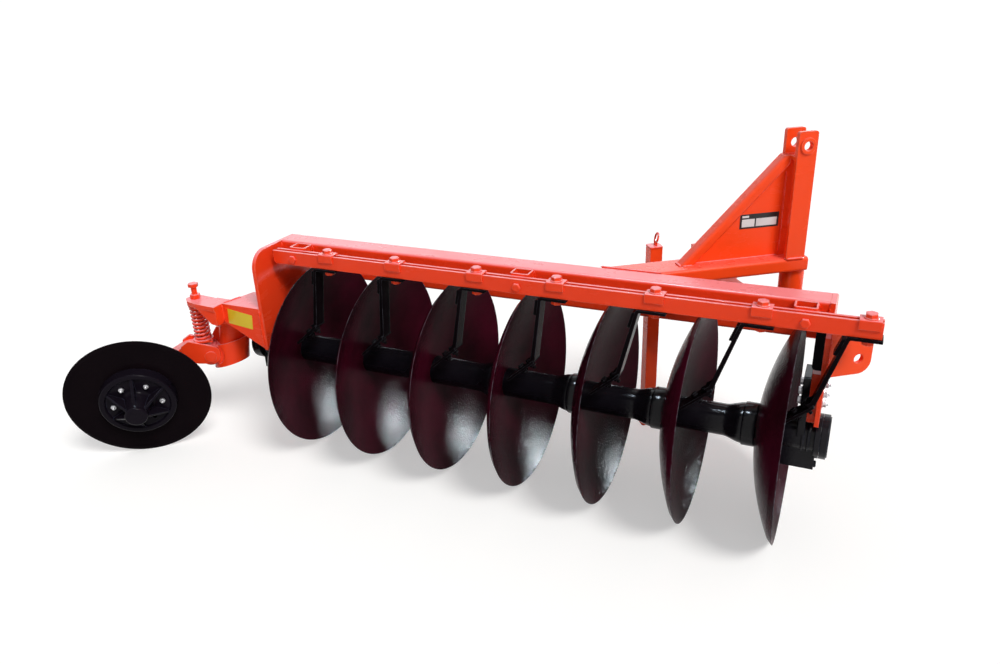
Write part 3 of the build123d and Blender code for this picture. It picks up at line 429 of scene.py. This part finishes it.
ear_bolts = bearing_bolts(762.0, plate_outer) + bearing_bolts(-874.0, -844.0)
piece("bearing_bolts", ear_bolts, zinc, "frame")
block_bolt_reach, block_bolt_drop = 26.0, 72.0
block_bolts = []
for y in (-block_bolt_reach, block_bolt_reach):
    block_bolts += hex_head((plate_outer, y, gang_height - block_bolt_drop), (1, 0, 0), 9.0, 6.0)
piece("bearing_block_bolts", block_bolts, black_casting, "frame")

# Scraper bar
# Two flats on edge with folded clips over them. A bolt goes down through each clip, between the
# flats and through the scraper's foot to a nut, and one through the bar's face at each bracket.
bar_top, bar_bottom, bar_near, bar_middle = 684.0, 642.0, -105.0, -91.0
clip_top, foot_under = bar_top + 5.0, bar_bottom - 8.0
clip_offsets = (118.5, 107.0, 124.5, 116.0, 138.5, 155.0, 149.5)
clip_middles = [rim + offset for rim, offset in zip(rims, clip_offsets)]
bracket_middles, face_bolt_height = (-752.0, 0.0, 747.0), 661.0
bar_bolts = []
for clip_x in clip_middles:
    bar_bolts += hex_head((clip_x, bar_middle, clip_top), (0, 0, 1), 15.0, 11.0, washer=17.0)
    bar_bolts += hex_head((clip_x, bar_middle, foot_under), (0, 0, -1), 15.0, 13.0)
for bracket_x in bracket_middles:
    bar_bolts += hex_head((bracket_x + 4, bar_near, face_bolt_height), (0, -1, 0), 13.0, 7.0)
piece("bar_bolts", bar_bolts, orange, "frame")

# Scrapers
# Black flat-bar legs with a hard blade across each disc's hollow. The blade is held on the leg's
# foot by two bolts with their nuts underneath.
blade_angle = math.radians(42)
blade_down = np.array([-math.cos(blade_angle), 0.0, -math.sin(blade_angle)])
blade_normal = np.array([-math.sin(blade_angle), 0.0, math.cos(blade_angle)])
knee_forward, knee_rise, blade_bolt_places = 52.0, 147.0, (26.0, 58.0)
scraper_bolts = []
for rim in rims:
    knee = np.array([rim + knee_forward, bar_middle, gang_height + knee_rise])
    for along in blade_bolt_places:
        seat = knee + blade_down * along
        scraper_bolts += hex_head(seat + blade_normal * 0.5, blade_normal, 9.0, 6.0, washer=11.0)
        scraper_bolts += hex_head(seat - blade_normal * 7.0, -blade_normal, 9.5, 8.0, washer=12.0, stub=8.0)
piece("scraper_bolts", scraper_bolts, black_gloss, "frame")

# Spring over the wheel's lever
# A coil of 8.5 mm wire between the lever's seat and the bracket's arm, painted with the frame.
spring_low, spring_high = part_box("spring")
spring_centre = (np.array(spring_low) + np.array(spring_high)) / 2
spring_wire, spring_turns = 4.25, 9.6
spring_radius = (spring_high.x - spring_low.x) / 2 / MM - spring_wire


def tube(path, radius, around=10):
    """A round section carried along a path, square to it at every station; the radius may vary along it."""
    path = np.asarray(path, float)
    along = np.gradient(path, axis=0)
    along /= np.linalg.norm(along, axis=1)[:, None]
    helper = np.where(np.abs(along[:, 2:3]) < 0.9, [[0.0, 0.0, 1.0]], [[1.0, 0.0, 0.0]])
    side = np.cross(helper, along)
    side /= np.linalg.norm(side, axis=1)[:, None]
    other = np.cross(along, side)
    angle = np.linspace(0, 2 * np.pi, around, endpoint=False)
    spoke = np.cos(angle)[None, :, None] * side[:, None] + np.sin(angle)[None, :, None] * other[:, None]
    size = np.broadcast_to(np.asarray(radius, float), len(path))
    return ringed(path[:, None] + spoke * size[:, None, None])


def coil_path():
    """A helix whose pitch closes up over the first and last turn, so the ends lie flat."""
    turn = np.linspace(0, 1, 420)
    low, high = spring_low.z / MM + spring_wire, spring_high.z / MM - spring_wire
    rise = np.clip((turn - 0.08) / 0.84, 0, 1) * 0.9 + 0.1 * turn
    angle = 2 * np.pi * spring_turns * turn
    centre = (spring_centre - np.array([gang_axis[0], gang_axis[1], 0])) / MM
    across = centre[0] + spring_radius * np.cos(angle)
    along = centre[1] + spring_radius * np.sin(angle)
    return np.stack([across, along, low + (high - low) * rise], axis=1)


coil = tube(coil_path(), spring_wire, 12)
spring = piece("lever_spring", [coil], orange, "frame", sharp=60)
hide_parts("spring")

# Furrow wheel
# A flat steel disc bolted to a ribbed iron hub with five zinc-plated bolts, one hole left empty.
# It runs on an axle that leans with the lever's yaw, held by a nut behind the lever.
wheel_yaw, wheel_lean = math.radians(-51.0), math.radians(11.6)
wheel_middle = np.array([-1240.0, -371.0, 224.0 * math.cos(wheel_lean)])
wheel_across = np.array([-math.sin(wheel_yaw), math.cos(wheel_yaw), 0.0])
wheel_level = math.cos(wheel_lean)
wheel_out = np.array([
    wheel_level * math.cos(wheel_yaw), wheel_level * math.sin(wheel_yaw), -math.sin(wheel_lean),
])
wheel_up = np.cross(wheel_out, wheel_across)
bolt_circle, hub_floor = 74.0, 30.0
# The bluish edge colour is a painted highlight along the hub's edges.
hub_gloss = painted(
    "hub_gloss", (0.007, 0.005, 0.009), (0.003, 0.002, 0.004), (0.05, 0.06, 0.10), (0.08, 0.06, 0.06),
    0.045, 0.3, Depth=0.7, Edge=0.6, Dust=0.02, Edge_Radius=0.002, Roughness=0.14, Grain_Scale=180.0,
)
repaint(hub_gloss, "wheel_hub")
wheel_bolts = []
for angle in np.radians([0, 60, 120, 180, 240]):
    spoke = math.cos(angle) * wheel_across + math.sin(angle) * wheel_up
    seat = wheel_middle + bolt_circle * spoke
    wheel_bolts += hex_head(seat + hub_floor * wheel_out, wheel_out, 9.0, 7.0, stub=7.0)
    wheel_bolts += hex_head(seat - 4.0 * wheel_out, -wheel_out, 10.5, 8.0)
piece("wheel_bolts", wheel_bolts, zinc, "furrow_wheel_body")
axle_back = wheel_middle - 131.0 * wheel_out
axle_nut = hex_head(axle_back, -wheel_out, 26.0, 16.0, washer=28.0)
piece("axle_nut", axle_nut, black_casting, "frame")

# Weld beads
# Rippled seams of arc weld where the tubes and plates of the frame meet, painted with the frame.
hitch_turn = math.radians(36.0)
travel = np.array([math.cos(hitch_turn), math.sin(hitch_turn), 0.0])
to_left = np.array([-math.sin(hitch_turn), math.cos(hitch_turn), 0.0])


def hitch(along, across, z):
    """A place given along the travel, across to its left, and up."""
    return along * travel + across * to_left + np.array([0.0, 0.0, z])


def bead(start, end, size=4.0, seed=0):
    """A weld seam: a round section that swells and shrinks with each ripple, tapered at both ends."""
    start, end = np.asarray(start, float), np.asarray(end, float)
    length = np.linalg.norm(end - start)
    count = max(8, int(length / 1.7))
    share = np.linspace(0, 1, count)
    wobble = np.random.default_rng(seed).normal(0, 0.05, count)
    ripple = 0.86 + 0.16 * np.abs(np.sin(share * length * np.pi / 7.5)) + wobble
    taper = np.clip(np.minimum(share, 1 - share) * length / 5.0, 0.3, 1.0)
    return tube(start + share[:, None] * (end - start), size * ripple * taper, 8)


def bead_ring(centre, normal, radius, size=4.0, turn=(0, 360)):
    """A weld seam round a pipe, or along part of its round."""
    normal = np.asarray(normal, float) / np.linalg.norm(normal)
    side = np.cross(normal, [0.0, 1.0, 0.0]) if abs(normal[2]) > 0.5 else np.cross(normal, [0.0, 0.0, 1.0])
    side /= np.linalg.norm(side)
    other = np.cross(normal, side)
    angle = np.radians(np.linspace(*turn, max(24, int(radius * abs(turn[1] - turn[0]) / 100))))
    spoke = np.cos(angle)[:, None] * side + np.sin(angle)[:, None] * other
    path = np.asarray(centre, float) + radius * spoke
    ripple = 0.88 + 0.14 * np.abs(np.sin(angle * radius * np.pi / 7.5))
    return tube(path, size * ripple, 8)


beam_near, beam_far, beam_low, beam_high = -31.0, 45.0, 626.0, 692.0
front_near, front_far, front_low, front_high = 292.0, 392.0, 450.0, 550.0
left_face, right_face, off_corner = -844.0, 800.0, 8.0
beam_in, beam_out = beam_near + off_corner, beam_far - off_corner
beam_up, beam_down = beam_low + off_corner, beam_high - off_corner
front_in, front_out = front_near + off_corner, front_far - off_corner
front_up, front_down = front_low + off_corner, front_high - off_corner
welds = []
for x in (left_face, right_face):
    welds += [bead((x, beam_near, beam_up), (x, beam_near, beam_down), 4, 1)]
    welds += [bead((x, beam_in, beam_low), (x, beam_out, beam_low), 4, 2)]
    welds += [bead((x, beam_far, beam_up), (x, beam_far, beam_down), 4, 3)]
    welds += [bead((x, front_near, front_up), (x, front_near, front_down), 4, 4)]
    welds += [bead((x, front_in, front_high), (x, front_out, front_high), 4, 5)]
    welds += [bead((x, front_in, front_low), (x, front_out, front_low), 4, 6)]
bracket_half, bracket_long = 28.0, 46.0
for number, x in enumerate(bracket_middles):
    for side in (-bracket_half, bracket_half):
        welds += [bead((x + side, beam_near, 632), (x + side, beam_near, 686), 3, 10 + number)]
        outer = beam_near - bracket_long
        welds += [bead((x + side, outer, 644), (x + side, outer, 680), 3, 20 + number)]
arm_near, arm_far, arm_low = -179.0, -79.0, 652.0
root_near, root_far = [(beam_far - across * to_left[1]) / travel[1] for across in (arm_near, arm_far)]
welds += [bead(hitch(root_near, arm_near, beam_high), hitch(root_far, arm_far, beam_high), 3.5, 30)]
welds += [bead(hitch(root_near, arm_near, arm_low + 4), hitch(root_near, arm_near, beam_high - 4), 3.5, 31)]
mast_back, mast_front = 690.0, 746.0
for across in (arm_near, arm_near + 12, arm_near + 62, arm_near + 74):
    start, end = hitch(mast_back + 2, across, beam_high), hitch(mast_front - 2, across, beam_high)
    welds += [bead(start, end, 4, int(40 - across))]
for along in (mast_back, mast_front):
    for across in (arm_near, arm_near + 62):
        start, end = hitch(along, across + 1, beam_high), hitch(along, across + 11, beam_high)
        welds += [bead(start, end, 4, 50)]
brace_middle = -129.0
for side in (-4.0, 4.0):
    across = brace_middle + side
    welds += [bead(hitch(440, across, beam_high), hitch(mast_back - 2, across, beam_high), 3, 60)]
    welds += [bead(hitch(mast_back, across, beam_high + 6), hitch(mast_back, across, 930), 3, 61)]
for side in (-20.0, 20.0):
    across = brace_middle + side
    welds += [bead(hitch(396, across, beam_high), hitch(430, across, beam_high), 4, 62)]
brace_heel = 393.0
start, end = (hitch(brace_heel, brace_middle + side, beam_high) for side in (-17, 17))
welds += [bead(start, end, 4.5, 63)]
post_along, post_radius = 744.0, 34.0
post_top = hitch(post_along, brace_middle, arm_low)
post_foot = hitch(post_along, brace_middle, front_high)
welds += [bead_ring(post_top, (0, 0, 1), post_radius, 4)]
welds += [bead_ring(post_foot, (0, 0, 1), post_radius, 4.5)]
lug_middle = -486.0
for across in (lug_middle - 37, lug_middle - 25, lug_middle + 25, lug_middle + 37):
    along = (plate_outer - across * to_left[0]) / travel[0]
    welds += [bead(hitch(along, across, 506), hitch(along, across, 616), 3.5, 70)]
box_root, box_end, box_near, box_top = -856.0, -1006.0, -172.0, 506.0
welds += [bead((box_root, box_near, 376), (box_root, box_near, 500), 4, 80)]
welds += [bead((box_root, -168, box_top), (box_root, -56, box_top), 4, 81)]
welds += [bead((box_end, box_near, 448), (box_end, box_near, 502), 4, 82)]
welds += [bead((-1004, -166, box_top), (-986, -102, box_top), 3.5, 83)]
sleeve_sides = (222.0, 282.0)
for x in sleeve_sides:
    welds += [bead((x, front_far, 462), (x, front_far, 538), 3.5, 84)]
piece("weld_beads", welds, orange, "frame", sharp=80)

# Swivel stop
# A cut plate of 12 mm steel welded to the swivel's post behind the lever, and painted with it. It
# keeps the lever from rising too far.
def upright_sheet(corners, thickness, sideways):
    """A flat plate from its corners, standing to both sides of them by half its thickness."""
    corners = np.asarray(corners, float)
    half = np.asarray(sideways, float) / np.linalg.norm(sideways) * thickness / 2
    return ringed(np.array([corners - half, corners + half]))


stop_corners = [(-1152, -112, 326), (-1070, -112, 326), (-1055, -112, 392), (-1106, -112, 388)]
stop_thickness = 12.0
stop = upright_sheet(stop_corners, stop_thickness, (0.0, 1.0, 0.0))
piece("swivel_stop", [stop], orange, "frame")

# Parking stand
# A square tube leg with a plate cap welded on top and a bent rod for a handle. Both are painted with
# the frame, and slide up with the leg.
stand_middle = np.array([252.0, 432.0, 637.0])


def slab(corners, low, high, round_size, step=4):
    """A plate with rounded corners and a small chamfer, from its four corners and two heights."""
    corners = np.asarray(corners, float)
    towards_next = np.roll(corners, -1, axis=0) - corners
    towards_next /= np.linalg.norm(towards_next, axis=1)[:, None]
    towards_last = -np.roll(towards_next, 1, axis=0)
    centre = corners + round_size * (towards_next + towards_last)
    turn = np.linspace(0, 1, step)[None, :, None] * np.pi / 2
    outwards = np.cos(turn) * towards_next[:, None] + np.sin(turn) * towards_last[:, None]
    arc = centre[:, None] - round_size * outwards
    outline = arc.reshape(-1, 2)
    middle = outline.mean(axis=0)
    inner = middle + (outline - middle) * 0.985
    rings = [np.column_stack([flat, np.full(len(outline), z)]) for flat, z in (
        (inner, low), (outline, low + 0.6), (outline, high - 0.6), (inner, high),
    )]
    return ringed(np.array(rings))


cap_half, cap_low, cap_high, cap_round = 21.5, 635.0, 641.0, 5.0
cap_signs = cap_half * np.array([(-1, -1), (1, -1), (1, 1), (-1, 1)])
cap_corners = (stand_middle + cap_signs[:, :1] * travel + cap_signs[:, 1:] * to_left)[:, :2]
handle_half, handle_middle, handle_rise, handle_lean, rod_radius = 11.0, 28.0, 15.0, 10.0 / 43.0, 3.2
loop_turn = np.radians(np.linspace(-50, 230, 40))[:, None]
loop_height = handle_middle + handle_rise * np.sin(loop_turn)
loop_path = stand_middle + handle_half * np.cos(loop_turn) * to_left
loop_path = loop_path + loop_height * np.array([0.0, 0.0, 1.0]) + handle_lean * loop_height * travel
first_foot, last_foot = (loop_path[end] * (1, 1, 0) + (0, 0, 638.0) for end in (0, -1))
loop_path = np.vstack([first_foot, loop_path, last_foot])
piece("stand_cap", [slab(cap_corners, cap_low, cap_high, cap_round)], orange, "stand")
piece("stand_handle", [tube(loop_path, rod_radius, 10)], orange, "stand", sharp=60)

# Blank plates
# A thin black plate with three plain pale fields on the hitch's triangle, and a plain yellow panel on
# the wheel's box. Both are stuck on.
# The paler edge colours of these plates are painted highlights along their rims.
plate_black = painted(
    "plate_black", (0.012, 0.012, 0.013), (0.006, 0.006, 0.007), (0.2, 0.2, 0.2), (0.3, 0.25, 0.2),
    0.4, 0.03, Depth=0.4, Edge=0.5, Dust=0.1, Edge_Radius=0.0004, Roughness=0.3, Grain_Scale=500.0,
)
plate_pale = painted(
    "plate_pale", (0.72, 0.73, 0.74), (0.55, 0.56, 0.58), (0.9, 0.9, 0.9), (0.7, 0.6, 0.5),
    0.5, 0.03, Depth=0.5, Edge=0.3, Dust=0.1, Edge_Radius=0.0004, Roughness=0.35, Grain_Scale=500.0,
)
panel_yellow = painted(
    "panel_yellow", (0.72, 0.52, 0.02), (0.60, 0.42, 0.015), (0.85, 0.70, 0.2), (0.7, 0.6, 0.4),
    0.4, 0.03, Depth=0.5, Edge=0.2, Dust=0.05, Edge_Radius=0.0003, Roughness=0.35, Grain_Scale=500.0,
)


def panel(corners, thickness):
    """A thin flat panel on four corners given in order, standing out to the side they turn towards."""
    corners = np.asarray(corners, float)
    normal = np.cross(corners[1] - corners[0], corners[3] - corners[0])
    normal /= np.linalg.norm(normal)
    middle = corners.mean(axis=0)
    inner = middle + (corners - middle) * 0.99
    back, front = corners - normal * 0.2, corners + normal * (thickness - 0.2)
    return ringed(np.array([back, front, inner + normal * thickness]))


gusset_face = -133.0
plate_left, plate_right, plate_low, plate_high = 566.0, 682.0, 778.0, 819.0


def on_gusset(left, right, low, high, lift):
    """Four corners on the hitch's triangle plate, lifted off it by a little."""
    face = gusset_face - lift
    return [
        hitch(left, face, low), hitch(right, face, low), hitch(right, face, high), hitch(left, face, high),
    ]


plate_thickness, field_thickness = 0.8, 0.3
field_edges = [
    (plate_left + 6, plate_left + 44, plate_low + 5, plate_high - 14),
    (plate_left + 48, plate_right - 6, plate_low + 5, plate_high - 14),
    (plate_left + 6, plate_left + 26, plate_high - 10, plate_high - 4),
]
plate_fields = [panel(on_gusset(*edges, plate_thickness), field_thickness) for edges in field_edges]
whole_plate = panel(on_gusset(plate_left, plate_right, plate_low, plate_high, 0.0), plate_thickness)
piece("data_plate", [whole_plate], plate_black, "frame")
piece("data_plate_fields", plate_fields, plate_pale, "frame")
box_corners = [(-989, -172, 440), (-893, -172, 431), (-888, -172, 480), (-985, -172, 491)]
piece("box_panel", [panel(box_corners, 0.6)], panel_yellow, "frame")

# Floor, light and camera
# A pale studio floor that keeps the shadow, a soft high lamp from the right, an even white room, and
# three panels that show only in gloss. The camera stands where the photograph was taken from.
floor_mesh = bpy.data.meshes.new("studio_floor")
floor_mesh.from_pydata([(-200, -200, 0), (200, -200, 0), (200, 200, 0), (-200, 200, 0)], [], [(0, 1, 2, 3)])
floor = bpy.data.objects.new("studio_floor", floor_mesh)
bpy.context.scene.collection.objects.link(floor)


def seen_directly(tree):
    """1 for what the camera sees, straight or in gloss or glass, and 0 for light on the object."""
    rays = node(tree, "ShaderNodeLightPath")
    seen = rays.outputs["Is Camera Ray"]
    for kind in ("Is Glossy Ray", "Is Transmission Ray"):
        either = node(tree, "ShaderNodeMath", [(0, seen), (1, rays.outputs[kind])], operation="MAXIMUM")
        seen = either.outputs[0]
    return seen


pale = bpy.data.materials.new("pale_floor")
pale.use_nodes = True
tree = pale.node_tree
shader = tree.nodes["Principled BSDF"]
shader.inputs["Base Color"].default_value = (0.66, 0.66, 0.66, 1)
shader.inputs["Roughness"].default_value = 1.0
shader.inputs["Specular IOR Level"].default_value = 0.0
shader.inputs["Emission Color"].default_value = (1, 1, 1, 1)
tree.links.new(times(tree, seen_directly(tree), 0.42), shader.inputs["Emission Strength"])
floor_mesh.materials.append(pale)

world = bpy.data.worlds.new("studio")
bpy.context.scene.world = world
world.use_nodes = True
tree = world.node_tree
room = tree.nodes["Background"]
room.inputs["Color"].default_value = (1, 1, 1, 1)
tree.links.new(steps(tree, seen_directly(tree), 0, 1, 0.41, 1.0), room.inputs["Strength"])

for lamp_name, energy, width, colour, towards, gloss_only in (
    ("high_lamp", 2.4, 20, (1.0, 0.985, 0.955), (0.56, -0.36, 0.745), False),
    ("low_far_panel", 28.0, 11, (0.86, 0.94, 1.0), (0.74, 0.67, 0.02), True),
    ("overhead_panel", 7.0, 9, (0.72, 0.86, 1.0), (-0.2, 0.02, 1.0), True),
    ("back_sky_panel", 0.7, 50, (0.84, 0.91, 1.0), (-0.386, 0.829, 0.405), True),
):
    lamp = bpy.data.lights.new(lamp_name, "SUN")
    lamp.energy = energy
    lamp.angle = math.radians(width)
    lamp.color = colour
    lamp_object = bpy.data.objects.new(lamp_name, lamp)
    lamp_object.rotation_euler = Vector(towards).to_track_quat("Z", "Y").to_euler()
    lamp_object.visible_diffuse = not gloss_only
    bpy.context.scene.collection.objects.link(lamp_object)

camera_data = bpy.data.cameras.new("photo_camera")
camera_data.sensor_width = 36.0
camera_data.lens = 29.119
camera = bpy.data.objects.new("photo_camera", camera_data)
camera.location = row((835.21, -2004.13, 1447.12))
camera.rotation_euler = [math.radians(angle) for angle in (66.1037, 2.0386, 24.0963)]
bpy.context.scene.collection.objects.link(camera)
bpy.context.scene.camera = camera
bpy.context.scene.view_settings.view_transform = "Standard"
